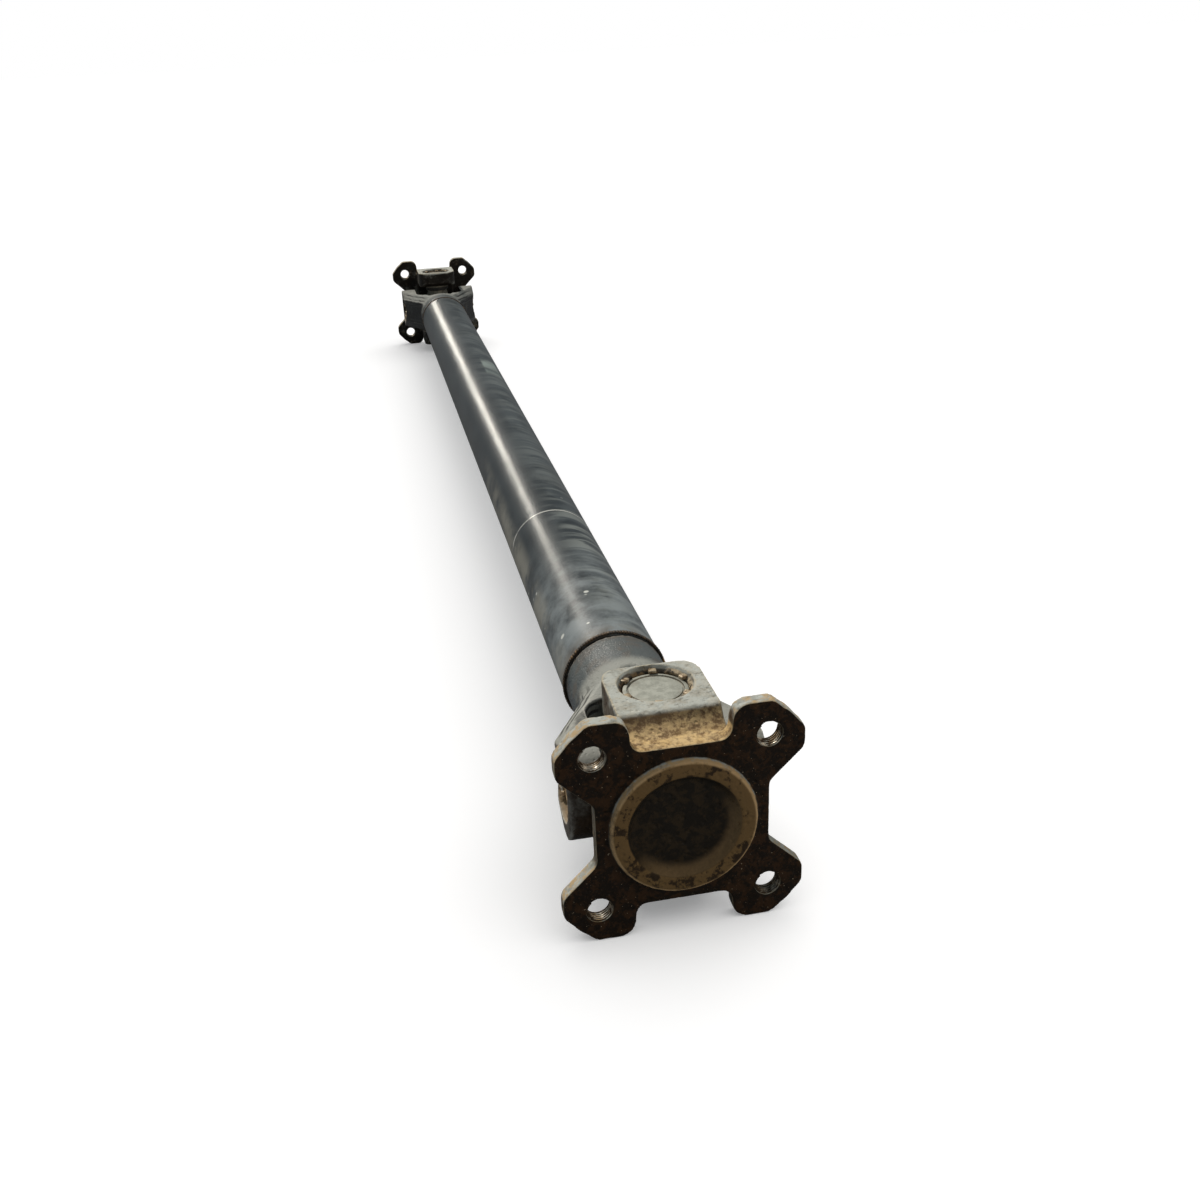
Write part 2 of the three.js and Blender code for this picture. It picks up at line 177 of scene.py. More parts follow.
# The world fills the shade a little, and the camera sees it as white behind the floor's far edge.
world = bpy.data.worlds.new("studio")
world.use_nodes = True
sky = world.node_tree
fill_light = sky.nodes["Background"]
fill_light.inputs["Color"].default_value = (0.84, 0.94, 1.0, 1)
fill_light.inputs["Strength"].default_value = 0.26
white = sky.nodes.new("ShaderNodeBackground")
white.inputs["Color"].default_value = (1, 1, 1, 1)
seen = sky.nodes.new("ShaderNodeLightPath").outputs["Is Camera Ray"]
either = sky.nodes.new("ShaderNodeMixShader")
sky.links.new(seen, either.inputs["Fac"])
sky.links.new(fill_light.outputs[0], either.inputs[1])
sky.links.new(white.outputs[0], either.inputs[2])
sky.links.new(either.outputs[0], sky.nodes["World Output"].inputs["Surface"])
scene.world = world
scene.view_settings.view_transform = "Standard"

# %% [markdown]
# ## Small helpers for node trees
# Shader trees and geometry trees are built the same way: add a node, set or link its inputs, and use
# its output in the next one. One small class does that for both, so each later step is a line or two.

# %% A class that adds nodes to one tree


class Tree:
    """Adds nodes to one tree. Most methods give back the socket that the next step uses."""

    def __init__(self, tree):
        self.tree = tree
        if tree.type == "GEOMETRY":
            self.place = tree.nodes.new("GeometryNodeInputPosition").outputs[0]
        else:
            coordinates = tree.nodes.new("ShaderNodeTexCoord")
            self.place = coordinates.outputs["Object"]
            self.normal = coordinates.outputs["Normal"]

    def link(self, value, socket):
        """Links the value if it is a socket, and sets it as a constant if it isn't."""
        if isinstance(value, bpy.types.NodeSocket):
            self.tree.links.new(value, socket)
        else:
            socket.default_value = value

    def add(self, kind, inputs=None, **settings):
        """A new node, set up before its inputs are linked or set. Inputs are named or numbered."""
        made = self.tree.nodes.new(kind)
        for name, value in settings.items():
            setattr(made, name, value)
        for name, value in (inputs or {}).items():
            self.link(value, made.inputs[name])
        return made

    def maths(self, operation, first, second=0.0, clamp=False):
        inputs = {0: first, 1: second}
        return self.add("ShaderNodeMath", inputs, operation=operation, use_clamp=clamp).outputs[0]

    def plus(self, first, second, clamp=False):
        return self.maths("ADD", first, second, clamp)

    def minus(self, first, second):
        return self.maths("SUBTRACT", first, second)

    def times(self, product, *factors, clamp=False):
        for factor in factors:
            product = self.maths("MULTIPLY", product, factor, clamp)
        return product

    def distance(self, first, second):
        """How far a point is from the origin, from its two coordinates."""
        return self.maths("SQRT", self.plus(self.times(first, first), self.times(second, second)))

    def part(self, vector, axis):
        return self.add("ShaderNodeSeparateXYZ", {0: vector}).outputs[axis]

    def rise(self, value, low, high):
        """0 below low, 1 above high and a smooth step between them. It falls if low is over high."""
        inputs = {"Value": value, "From Min": low, "From Max": high}
        return self.add("ShaderNodeMapRange", inputs, interpolation_type="SMOOTHSTEP").outputs[0]

    def between(self, low, high, mask):
        """A number that goes from low to high as the mask goes from 0 to 1."""
        inputs = {"Value": mask, "To Min": low, "To Max": high}
        return self.add("ShaderNodeMapRange", inputs).outputs[0]

    def over(self, below, above, mask):
        """The colour above laid over the colour below where the mask is 1."""
        below, above = ((*c, 1) if isinstance(c, tuple) else c for c in (below, above))
        return self.add("ShaderNodeMix", {0: mask, 6: below, 7: above}, data_type="RGBA").outputs[2]

    def speckle(self, scale, detail=4.0, roughness=0.55, distortion=0.0, vector=None):
        return self.add("ShaderNodeTexNoise", {
            "Vector": self.place if vector is None else vector, "Scale": scale, "Detail": detail,
            "Roughness": roughness, "Distortion": distortion,
        }).outputs[0]

    def cells(self, scale):
        """The distance from the middle of the nearest of many random cells."""
        inputs = {"Vector": self.place, "Scale": scale}
        return self.add("ShaderNodeTexVoronoi", inputs).outputs["Distance"]

    def use(self, group, **values):
        """Places a group. A value's name is its input's name with _ for each space."""
        made = self.add("ShaderNodeGroup", node_tree=group.tree)
        for name, value in values.items():
            self.link(value, made.inputs[name.replace("_", " ")])
        return made.outputs


def start_group(name, kind, inputs, outputs):
    """A node group. The inputs and outputs are names under their socket type, with any default."""
    group = bpy.data.node_groups.new(name, kind)
    for in_out, sockets in (("INPUT", inputs), ("OUTPUT", outputs)):
        for socket_type, titles in sockets.items():
            for title in titles:
                made = group.interface.new_socket(
                    title, in_out=in_out, socket_type=f"NodeSocket{socket_type}")
                if isinstance(titles, dict):
                    made.default_value = titles[title]
    tree = Tree(group)
    tree.given = group.nodes.new("NodeGroupInput").outputs
    tree.result = group.nodes.new("NodeGroupOutput").inputs
    return tree


# %% [markdown]
# ## Effects that several finishes share
# Dust, rust, worn edges, dirt in hollows, streaks and bands turn up on most pieces of a used shaft.
# Each is a node group that puts out masks, so that one place sets how dust falls everywhere. A mask
# could be painted by hand instead, but a rule that reads the surface's own direction and place also
# works on the sides that nobody painted.

# %% Helper that starts a group of masks


def start_masks(name, inputs, *outputs):
    tree = start_group(name, "ShaderNodeTree", {"Float": inputs}, {"Float": outputs})
    return tree, tree.given, tree.result


# %% Settled dust: on whatever faces up, in patches
dust, given, result = start_masks(
    "settled dust", {"Amount": 1.0, "Slope": 0.45, "Patch Scale": 60.0, "Patchiness": 0.6},
    "Mask", "Grain",
)
soft_slope = 0.28
up = dust.part(dust.normal, "Z")
patches = dust.speckle(given["Patch Scale"], 7, 0.62)
uneven = dust.times(dust.minus(patches, 0.5), given["Patchiness"])
facing = dust.plus(up, dust.times(uneven, 3.0))
low = dust.minus(given["Slope"], soft_slope)
high = dust.plus(given["Slope"], soft_slope)
dust.link(dust.times(dust.rise(facing, low, high), given["Amount"], clamp=True), result["Mask"])
dust.link(dust.speckle(1400.0, 3), result["Grain"])

# %% Rust: broad patches, fine grain and pits
rust, given, result = start_masks(
    "rust", {"Patch Scale": 70.0, "Coverage": 0.5, "Pit Scale": 420.0}, "Patches", "Grain", "Pits",
)
soft_patch = 0.06
field = rust.speckle(given["Patch Scale"], 9, 0.68, 0.4)
edge = rust.between(0.34, 0.66, rust.minus(1.0, given["Coverage"]))
patches = rust.rise(field, rust.minus(edge, soft_patch), rust.plus(edge, soft_patch))
pit_size = rust.speckle(rust.times(given["Pit Scale"], 0.4), 3)
pit_rim = rust.between(0.12, 0.62, pit_size)
pits = rust.rise(rust.cells(given["Pit Scale"]), 0.0, pit_rim)
rust.link(patches, result["Patches"])
rust.link(rust.speckle(900.0, 6, 0.7), result["Grain"])
rust.link(pits, result["Pits"])

# %% Worn edges: corners rubbed clean, broken up by noise
wear, given, result = start_masks(
    "worn edges", {"Start": 0.53, "Width": 0.05, "Break Up": 0.06}, "Mask"
)
pointed = wear.add("ShaderNodeNewGeometry").outputs["Pointiness"]
ragged = wear.times(wear.minus(wear.speckle(260.0, 5, 0.6), 0.5), given["Break Up"])
edge = wear.plus(pointed, ragged)
high = wear.plus(given["Start"], given["Width"])
wear.link(wear.rise(edge, given["Start"], high), result["Mask"])

# %% Dirt in hollows: where the surface is close to another
hollows, given, result = start_masks("dirt in hollows", {"Reach": 0.006, "Strength": 1.0}, "Mask")
closed = hollows.add("ShaderNodeAmbientOcclusion", {"Distance": given["Reach"]}, samples=6)
shut = hollows.minus(1.0, closed.outputs["AO"])
hollows.link(hollows.times(shut, given["Strength"], clamp=True), result["Mask"])

# %% Streaks: noise that is stretched along one direction
streaks, given, result = start_masks(
    "streaks", {"Along Shaft": 20.0, "Across Shaft": 20.0, "Level": 0.5, "Softness": 0.1}, "Mask"
)
across, along = given["Across Shaft"], given["Along Shaft"]
stretch = streaks.add("ShaderNodeCombineXYZ", {"X": across, "Y": along, "Z": across}).outputs[0]
stretched = streaks.add("ShaderNodeVectorMath", {0: streaks.place, 1: stretch}, operation="MULTIPLY")
field = streaks.speckle(1.0, 6, 0.6, 0.9, vector=stretched.outputs[0])
low = streaks.minus(given["Level"], given["Softness"])
high = streaks.plus(given["Level"], given["Softness"])
streaks.link(streaks.rise(field, low, high), result["Mask"])

# %% A band round the shaft, with a ragged edge
band, given, result = start_masks(
    "band round the shaft",
    {"Middle": 0.0, "Half Width": 0.001, "Softness": 0.0005, "Raggedness": 0.0}, "Mask",
)
shift = band.times(band.minus(band.speckle(90.0, 5), 0.5), given["Raggedness"])
away = band.minus(band.plus(band.part(band.place, "Y"), shift), given["Middle"])
outside = band.plus(given["Half Width"], given["Softness"])
band.link(band.rise(band.maths("ABSOLUTE", away), outside, given["Half Width"]), result["Mask"])

print("shared effects:", [group.name for group in bpy.data.node_groups])


# %% [markdown]
# ## Finishes
# The Principled shader stays in each material. Its colour, roughness and bump come from the groups
# above, and each finish starts from the bare surface and lays rust, wear and dust over it in the
# order in which they came to the real one. A few coats are painted light and shade.

# %% A class that paints one material coat by coat


class Finish(Tree):
    """A material. It keeps the colour so far, and each coat goes over it."""

    def __init__(self, name, metallic=0.0, roughness=0.5, specular=0.5):
        self.material = bpy.data.materials.new(name)
        self.material.use_nodes = True
        super().__init__(self.material.node_tree)
        self.inputs = self.tree.nodes["Principled BSDF"].inputs
        self.inputs["Metallic"].default_value = metallic
        self.inputs["Roughness"].default_value = roughness
        self.inputs["Specular IOR Level"].default_value = specular
        self.x, self.y, self.z = (self.part(self.place, axis) for axis in "XYZ")
        self.across, self.station, self.height = (
            self.maths("ABSOLUTE", value) for value in (self.x, self.y, self.z))

    def base(self, first, second, mask):
        self.colour = self.over(first, second, mask)

    def coat(self, colour, mask, share=None):
        """Lays a colour over what is there, where the mask is 1. The share thins it."""
        mask = mask if share is None else self.times(mask, share)
        self.colour = self.over(self.colour, colour, mask)

    def half(self, end):
        """1 on one half of the shaft and 0 on the other, with a smooth step in the middle."""
        blend = 0.1 * end_sign[end]
        return self.rise(self.y, -blend, blend)

    def from_pin(self, sideways):
        """How far a point is from the nearest hinge pin, from its other coordinate beside it."""
        return self.distance(self.minus(self.station, joint_centre["far"].y), sideways)

    def emboss(self, height, depth, strength=1.0):
        """Bump from a height of 0 to 1 that stands for a depth in metres."""
        made = self.add("ShaderNodeBump", {"Height": height, "Distance": depth, "Strength": strength})
        self.link(made.outputs["Normal"], self.inputs["Normal"])

    def done(self, roughness=None, metallic=None):
        """Links the colour, and the roughness and the metal where they vary over the surface."""
        for title, value in (("Base Color", self.colour), ("Roughness", roughness),
                             ("Metallic", metallic)):
            if value is not None:
                self.link(value, self.inputs[title])
        return self.material


# %% The tube's paint
# Dark blue-grey paint, scuffed smoky and dusted towards the near joint. A thin pale ring was painted
# round it, and a label has left a faint patch.
ring_plane = -face_plane + 305 * mm
patch_plane = -face_plane + 700 * mm
near_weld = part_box("near_weld_bead")[1].y
paint = Finish("tube paint", roughness=0.3, specular=0.3)
x, y, z = paint.x, paint.y, paint.z
paint.base((0.006, 0.0090, 0.0105), (0.013, 0.0175, 0.020), paint.speckle(25.0, 6))
smoky = paint.use(streaks, Along_Shaft=22.0, Across_Shaft=36.0, Level=0.52, Softness=0.10)["Mask"]
smoky_share = paint.between(0.25, 0.75, paint.rise(x, -12 * mm, 12 * mm))
paint.coat((0.052, 0.062, 0.066), smoky, smoky_share)
# Handling has rubbed the right side in pale arcs, most of all near the joint.
near_part = paint.rise(y, ring_plane + 60 * mm, ring_plane - 50 * mm)
rubbed = paint.use(streaks, Along_Shaft=95.0, Across_Shaft=17.0, Level=0.53, Softness=0.07)["Mask"]
right_side = paint.rise(x, -10 * mm, 12 * mm)
rubbed = paint.times(rubbed, paint.between(0.45, 1.0, near_part), right_side)
paint.coat((0.18, 0.195, 0.185), rubbed, 0.85)
haze = paint.rise(y, ring_plane - 20 * mm, near_weld + 30 * mm)
haze = paint.times(haze, paint.rise(paint.speckle(45.0, 8, 0.68), 0.30, 0.66))
paint.coat((0.20, 0.225, 0.235), haze, 0.85)
side_dust = paint.rise(x, -0.78 * tube_radius, -1.0 * tube_radius)
side_noise = paint.rise(paint.speckle(22.0, 7, 0.65), 0.42, 0.58)
side_dust = paint.times(side_dust, side_noise, paint.rise(y, 20 * mm, ring_plane))
paint.coat((0.27, 0.26, 0.22), side_dust, 0.6)
chip_size = paint.rise(paint.speckle(16.0, 2), 0.50, 0.66)
chip_rim = paint.times(chip_size, 0.22)
chipped = paint.rise(paint.cells(110.0), chip_rim, paint.times(chip_rim, 0.6))
chipped = paint.times(chipped, paint.rise(chip_size, 0.02, 0.1), near_part)
paint.coat((0.55, 0.56, 0.52), chipped, 0.85)
ring = paint.use(
    band, Middle=ring_plane, Half_Width=0.5 * mm, Softness=0.4 * mm, Raggedness=0.6 * mm)
paint.coat((0.42, 0.42, 0.39), ring["Mask"], paint.rise(paint.speckle(60.0, 6), 0.36, 0.5))
patch = paint.use(
    band, Middle=patch_plane, Half_Width=26 * mm, Softness=6 * mm, Raggedness=6 * mm)
patch = paint.times(
    patch["Mask"], paint.rise(x, 4 * mm, 6 * mm), paint.rise(x, 19 * mm, 17 * mm),
    paint.rise(z, 0.0, 2 * mm), paint.rise(paint.speckle(40.0, 3), 0.25, 0.75),
)
paint.coat((0.22, 0.26, 0.24), patch)
rusty = paint.use(rust, Patch_Scale=110.0, Coverage=0.62)["Patches"]
by_weld = paint.rise(y, near_weld + 12 * mm, near_weld)
paint.coat((0.10, 0.075, 0.05), paint.times(rusty, by_weld), 0.5)
dull = paint.maths("MAXIMUM", paint.times(smoky, 0.3), paint.maths("MAXIMUM", haze, side_dust))
dull = paint.maths("MAXIMUM", dull, paint.times(rubbed, 0.8))
waves = paint.speckle(30.0, 2)
paint.emboss(paint.plus(paint.speckle(600.0, 4, 0.5), waves), 0.05 * mm, 0.6)
tube_paint = paint.done(roughness=paint.between(0.34, 0.44, dull))

# %% The tube yokes' skin
# Forged steel, once painted the tube's colour. Dust has greyed what faces up, the hollows and the
# lugs are rusty brown, the neck keeps most of its paint, and the sharp edges are rubbed pale.
neck_start = face_plane - 97 * mm
weld_station = face_plane - 127 * mm
flute_pitch = 3.6 * mm
far_end_black = (0.008, 0.007, 0.006)
yoke = Finish("forged yoke skin", roughness=0.55, specular=0.3)
station, height, across = yoke.station, yoke.height, yoke.across
patchy = yoke.use(rust, Patch_Scale=85.0, Coverage=0.35, Pit_Scale=520.0)
mottle = yoke.speckle(150.0, 8, 0.7)
on_neck = yoke.rise(station, neck_start, neck_start - 8 * mm)
on_lug = yoke.rise(station, face_plane - 72 * mm, face_plane - 56 * mm)
yoke.base((0.030, 0.036, 0.038), (0.080, 0.090, 0.090), yoke.speckle(60.0, 7, 0.65))
yoke.coat(yoke.over((0.016, 0.011, 0.007), (0.050, 0.032, 0.018), mottle), on_lug)
yoke.coat((0.036, 0.048, 0.054), on_neck, 0.9)
yoke.coat((0.060, 0.036, 0.020), patchy["Patches"], 0.5)
yoke.coat((0.060, 0.034, 0.016), yoke.use(hollows, Reach=0.007, Strength=1.25)["Mask"], 0.8)
settled = yoke.use(dust, Amount=0.95, Slope=0.30, Patch_Scale=75.0, Patchiness=0.7)["Mask"]
settled_share = yoke.times(
    yoke.between(0.75, 0.9, yoke.half("near")), yoke.between(1.0, 0.2, on_neck))
yoke.coat((0.27, 0.275, 0.25), settled, settled_share)
# Ochre rust fills the recesses over the caps, and browns the neck beside the weld.
in_recess = yoke.times(
    yoke.rise(yoke.from_pin(yoke.z), 17.5 * mm, 15 * mm), yoke.rise(across, 36 * mm, 38 * mm))
yoke.coat(yoke.over((0.30, 0.19, 0.08), (0.10, 0.06, 0.025), mottle), in_recess, 0.85)
by_weld = yoke.times(
    yoke.rise(station, weld_station + 7 * mm, weld_station), yoke.rise(mottle, 0.42, 0.58))
yoke.coat((0.11, 0.075, 0.045), by_weld, 0.8)
# Drawn hollows run along the arms between the lugs and the neck. Painted shade darkens the hollows, and a painted
# highlight lies on the ridges between them.
on_arm = yoke.times(
    yoke.rise(across, 17 * mm, 21 * mm), yoke.rise(height, 6 * mm, 9 * mm),
    yoke.rise(station, face_plane - 50 * mm, face_plane - 56 * mm),
    yoke.rise(station, face_plane - 98 * mm, face_plane - 90 * mm),
    yoke.rise(yoke.speckle(33.0, 5, 0.6), 0.36, 0.56),
)
drift = yoke.times(yoke.speckle(30.0, 4), 10 * mm)
flutes_and_their_shade = yoke.maths("SINE", yoke.times(yoke.plus(height, drift), 2 * math.pi / flute_pitch))
flutes_and_their_shade = yoke.times(yoke.rise(flutes_and_their_shade, -0.2, 0.9), on_arm)
ridges = yoke.times(yoke.minus(1.0, yoke.rise(flutes_and_their_shade, 0.0, 0.5)), on_arm)
# A painted highlight on the ridges, then painted shade in the flutes.
yoke.coat((0.30, 0.30, 0.27), ridges, 0.45)
yoke.coat((0.020, 0.019, 0.017), flutes_and_their_shade, 0.85)
edge = yoke.use(wear, Start=0.510, Width=0.03, Break_Up=0.03)["Mask"]
yoke.coat((0.40, 0.39, 0.35), edge, 0.75)
# The far joint is painted near black wherever the dust has not covered it.
yoke.coat(far_end_black, yoke.half("far"), yoke.between(0.85, 0.1, settled))
rough_skin = yoke.plus(patchy["Pits"], yoke.times(patchy["Grain"], 1.2))
yoke.emboss(yoke.minus(rough_skin, yoke.times(flutes_and_their_shade, 3.0)), 0.28 * mm, 0.8)
dull = yoke.times(yoke.between(0.38, 0.7, settled), yoke.between(1.0, 0.68, on_neck))
yoke_skin = yoke.done(roughness=dull)

# %% The flange yokes' skin
# Pale, gritty dust lies on what faces up, over bare metal that has rusted in patches.
flange = Finish("flange yoke skin", roughness=0.6, specular=0.15)
station, height, across = flange.station, flange.height, flange.across
patchy = flange.use(rust, Patch_Scale=65.0, Coverage=0.5, Pit_Scale=300.0)
fine = flange.use(rust, Patch_Scale=230.0, Coverage=0.45, Pit_Scale=800.0)
mottle = flange.speckle(150.0, 8, 0.7)
grit = flange.speckle(330.0, 8, 0.7)
flange.base((0.100, 0.092, 0.072), (0.062, 0.038, 0.020), patchy["Patches"])
flange.coat((0.060, 0.034, 0.016), flange.use(hollows, Reach=0.006, Strength=1.3)["Mask"], 0.85)
by_edge = flange.rise(station, face_plane - 14 * mm, face_plane - 5 * mm)
tan_share = flange.times(fine["Patches"], flange.between(0.15, 1.0, by_edge))
gritty = flange.times(flange.rise(grit, 0.52, 0.68), 0.6)
dusty = flange.over((0.40, 0.415, 0.385), (0.24, 0.242, 0.215), flange.rise(mottle, 0.45, 0.70))
dusty = flange.over(dusty, (0.11, 0.095, 0.07), gritty)
dusty = flange.over(dusty, (0.42, 0.31, 0.18), tan_share)
settled = flange.use(dust, Amount=1.0, Slope=0.22, Patch_Scale=80.0, Patchiness=0.55)["Mask"]
flange.coat(dusty, settled, flange.between(0.92, 0.95, flange.half("near")))
# A rusty ochre film lies on the floors of the upper wrench scoops, with painted shade up their back sweep and
# towards its left end.
in_scoop = flange.times(
    flange.rise(height, 41.6 * mm, 40.2 * mm), flange.rise(height, 33 * mm, 34 * mm),
    flange.rise(across, 22 * mm, 20 * mm),
    flange.rise(station, face_plane - 19 * mm, face_plane - 18 * mm),
    flange.rise(flange.z, 0.0, 1 * mm),
)
shade_up_the_sweep = flange.times(
    flange.rise(height, 35.2 * mm, 41 * mm), flange.rise(flange.x, 24 * mm, -14 * mm))
rust_film_and_shade = flange.plus(flange.rise(grit, 0.40, 0.66), flange.times(shade_up_the_sweep, 0.85))
rust_film_and_shade = flange.plus(rust_film_and_shade, flange.times(flange.rise(mottle, 0.5, 0.62), 0.4), clamp=True)
flange.coat(flange.over((0.56, 0.39, 0.18), (0.15, 0.085, 0.032), rust_film_and_shade), in_scoop, 0.9)
# The pale edges are partly rubbed wear and partly painted highlights, in place of the flange's low shine.
edge = flange.use(wear, Start=0.512, Width=0.03, Break_Up=0.03)["Mask"]
flange.coat((0.42, 0.35, 0.23), edge, 0.55)
# The staking groove round each bore is dark with rust and painted shade, and its right side is painted light in
# tan.
in_groove = flange.times(
    flange.rise(flange.from_pin(flange.x), 15.7 * mm, 15.0 * mm),
    flange.rise(height, 36 * mm, 37 * mm),
)
lit_right_side = flange.times(flange.rise(flange.x, 6 * mm, 13 * mm), flange.rise(grit, 0.40, 0.5))
groove = flange.over((0.020, 0.012, 0.007), (0.19, 0.115, 0.05), flange.rise(grit, 0.44, 0.60))
flange.coat(flange.over(groove, (0.42, 0.34, 0.23), lit_right_side), in_groove, 0.9)
# The front face is dark, pitted rust, and its colour also holds painted shade, as it faces away from the light.
# Its boss is lighter, with a painted highlight on its rim, and a dish.
outwards = flange.times(flange.part(flange.normal, "Y"), flange.maths("SIGN", flange.y))
by_face = flange.rise(station, face_plane - 2 * mm, face_plane - 1 * mm)
front = flange.times(flange.rise(outwards, 0.55, 0.85), by_face)
dark_rust_and_shade = flange.over((0.012, 0.007, 0.0035), (0.040, 0.018, 0.0065), fine["Patches"])
dark_rust_and_shade = flange.over(dark_rust_and_shade, (0.10, 0.048, 0.017), flange.rise(fine["Grain"], 0.58, 0.72))
# Painted glints fleck the dark front face.
painted_glints = flange.rise(flange.speckle(1100.0, 3), 0.70, 0.74)
flange.coat(flange.over(dark_rust_and_shade, (0.50, 0.40, 0.28), painted_glints), front)
on_boss = flange.rise(station, face_plane + 1.2 * mm, face_plane + 2.2 * mm)
boss_stain = flange.times(flange.rise(flange.speckle(95.0, 8, 0.7), 0.50, 0.57), 0.9)
boss_colour = flange.over((0.185, 0.110, 0.042), (0.022, 0.012, 0.006), boss_stain)
flange.coat(boss_colour, front, on_boss)
from_axis = flange.distance(flange.x, flange.z)
# A painted highlight runs round the boss's rim.
boss_rim_highlight = flange.times(
    flange.rise(from_axis, 28.3 * mm, 29.3 * mm),
    flange.rise(station, face_plane + 0.5 * mm, face_plane + 1.5 * mm),
)
flange.coat((0.58, 0.38, 0.19), boss_rim_highlight, flange.rise(mottle, 0.28, 0.55))
dish = flange.times(flange.rise(from_axis, 23.4 * mm, 22.6 * mm), by_face)
flange.coat(flange.over((0.014, 0.0105, 0.0065), (0.034, 0.022, 0.0105), fine["Patches"]), dish)
# Painted light on the dish's lower right wall, where it faces the light. The upper left wall is left dark.
lit_dish_wall = flange.times(
    dish, flange.rise(from_axis, 16.5 * mm, 22 * mm), flange.between(0.5, 1.3, grit))
lit_lower_right = flange.minus(flange.x, flange.times(flange.z, 1.5))
lit_wall_share = flange.between(0.0, 0.8, flange.rise(lit_lower_right, -8 * mm, 22 * mm))
flange.coat((0.25, 0.16, 0.075), lit_dish_wall, lit_wall_share)
# Like the tube yokes, the far end is painted near black wherever it isn't dusty.
flange.coat((0.008, 0.006, 0.0045), flange.half("far"), flange.between(0.88, 0.0, settled))
flange.emboss(flange.plus(patchy["Pits"], flange.times(fine["Grain"], 0.9)), 0.45 * mm, 1.0)
flange_skin = flange.done(roughness=flange.between(0.48, 0.8, settled))

# %% Bearing steel
# Hardened and ground steel that is dull and dusty on the caps' faces and still bright inside.
steel = Finish("bearing steel", metallic=0.55, roughness=0.5)
patchy = steel.use(rust, Patch_Scale=120.0, Coverage=0.3, Pit_Scale=900.0)
pale = steel.rise(steel.speckle(260.0, 8, 0.7), 0.36, 0.62)
steel.base((0.17, 0.18, 0.155), (0.37, 0.38, 0.335), pale)
steel.coat((0.10, 0.075, 0.045), patchy["Patches"], 0.5)
steel.coat((0.12, 0.07, 0.03), steel.use(hollows, Reach=0.0035, Strength=1.4)["Mask"], 0.75)
settled = steel.use(dust, Amount=0.75, Slope=0.35, Patch_Scale=110.0, Patchiness=0.4)["Mask"]
steel.coat((0.31, 0.32, 0.28), settled, 0.6)
steel.coat((0.14, 0.115, 0.08), steel.between(0.7, 0.12, steel.half("near")))
steel.coat((0.30, 0.19, 0.08), steel.rise(steel.across, 36 * mm, 38 * mm), 0.75)
steel.emboss(steel.plus(patchy["Grain"], patchy["Pits"]), 0.08 * mm, 0.6)
bearing_steel = steel.done(
    roughness=steel.between(0.42, 0.65, settled), metallic=steel.between(0.5, 0.15, settled))

# %% Weld metal, rubbed bolt holes, staked metal, rubber and nylon
bead = Finish("weld metal", metallic=0.2, roughness=0.6)
patchy = bead.use(rust, Patch_Scale=260.0, Coverage=0.5, Pit_Scale=1200.0)
bead.base((0.030, 0.024, 0.018), (0.085, 0.052, 0.024), patchy["Patches"])
bead.coat((0.36, 0.20, 0.07), bead.rise(bead.speckle(210.0, 4), 0.62, 0.7), 0.7)
bead.emboss(patchy["Grain"], 0.12 * mm, 0.7)
weld_metal = bead.done(roughness=bead.between(0.45, 0.8, patchy["Grain"]))


def patchy_metal(name, metallic, colours, pattern, roughness, depth, strength):
    """Metal of one colour with patches of another, where it is also less shiny."""
    finish = Finish(name, metallic=metallic)
    patchy = finish.use(rust, **pattern)
    finish.base(*colours, patchy["Patches"])
    finish.emboss(patchy["Grain"], depth, strength)
    return finish.done(roughness=finish.between(*roughness, patchy["Patches"]))


rubbed_steel = patchy_metal(
    "rubbed bolt hole", metallic=0.8, colours=((0.42, 0.37, 0.30), (0.045, 0.027, 0.013)),
    pattern={"Patch_Scale": 200.0, "Coverage": 0.62, "Pit_Scale": 1200.0},
    roughness=(0.28, 0.6), depth=0.05 * mm, strength=0.5,
)
staked_metal = patchy_metal(
    "staked metal", metallic=0.3, colours=((0.42, 0.34, 0.23), (0.12, 0.07, 0.03)),
    pattern={"Patch_Scale": 300.0, "Coverage": 0.45, "Pit_Scale": 1500.0},
    roughness=(0.38, 0.7), depth=0.08 * mm, strength=0.6,
)

rubber = Finish("seal rubber", roughness=0.6, specular=0.4)
rubber.base((0.012, 0.012, 0.012), (0.045, 0.040, 0.032), rubber.speckle(150.0, 6))
settled = rubber.use(dust, Amount=0.6, Slope=0.4, Patch_Scale=150.0, Patchiness=0.5)["Mask"]
rubber.coat((0.20, 0.17, 0.12), settled)
rubber.emboss(rubber.speckle(900.0), 0.05 * mm, 0.5)
seal_rubber = rubber.done()

washer = Finish("nylon", roughness=0.45)
greased = washer.speckle(220.0, 5)
washer.base((0.62, 0.56, 0.42), (0.30, 0.22, 0.12), greased)
nylon = washer.done(roughness=washer.between(0.5, 0.25, greased))

# %% The floor
# Rays that bounce see a grey floor, so that it doesn't light the underside like a lamp.
white_floor = Finish("white floor", roughness=0.9, specular=0.1)
seen = white_floor.add("ShaderNodeLightPath").outputs["Is Camera Ray"]
white_floor.base((0.22, 0.22, 0.22), (0.86, 0.835, 0.815), seen)
white_floor.link(white_floor.over((0, 0, 0), (1, 1, 1), seen), white_floor.inputs["Emission Color"])
white_floor.inputs["Emission Strength"].default_value = 0.24
floor.data.materials.append(white_floor.done())
print("finishes:", [material.name for material in bpy.data.materials])


# %% [markdown]
# ## Making meshes
# A turned piece is a profile spun round its axis, as on a lathe. A forging has no such rule: its
# shape is the frame's, with every corner rounded by the die. The helpers here make both, and one
# more turns what a modifier makes into a plain mesh.

# %% Helpers that make and place meshes


def new_object(name, mesh, material=None):
    made = bpy.data.objects.new(name, mesh)
    scene.collection.objects.link(made)
    if material is not None:
        mesh.materials.clear()
        mesh.materials.append(material)
    return made


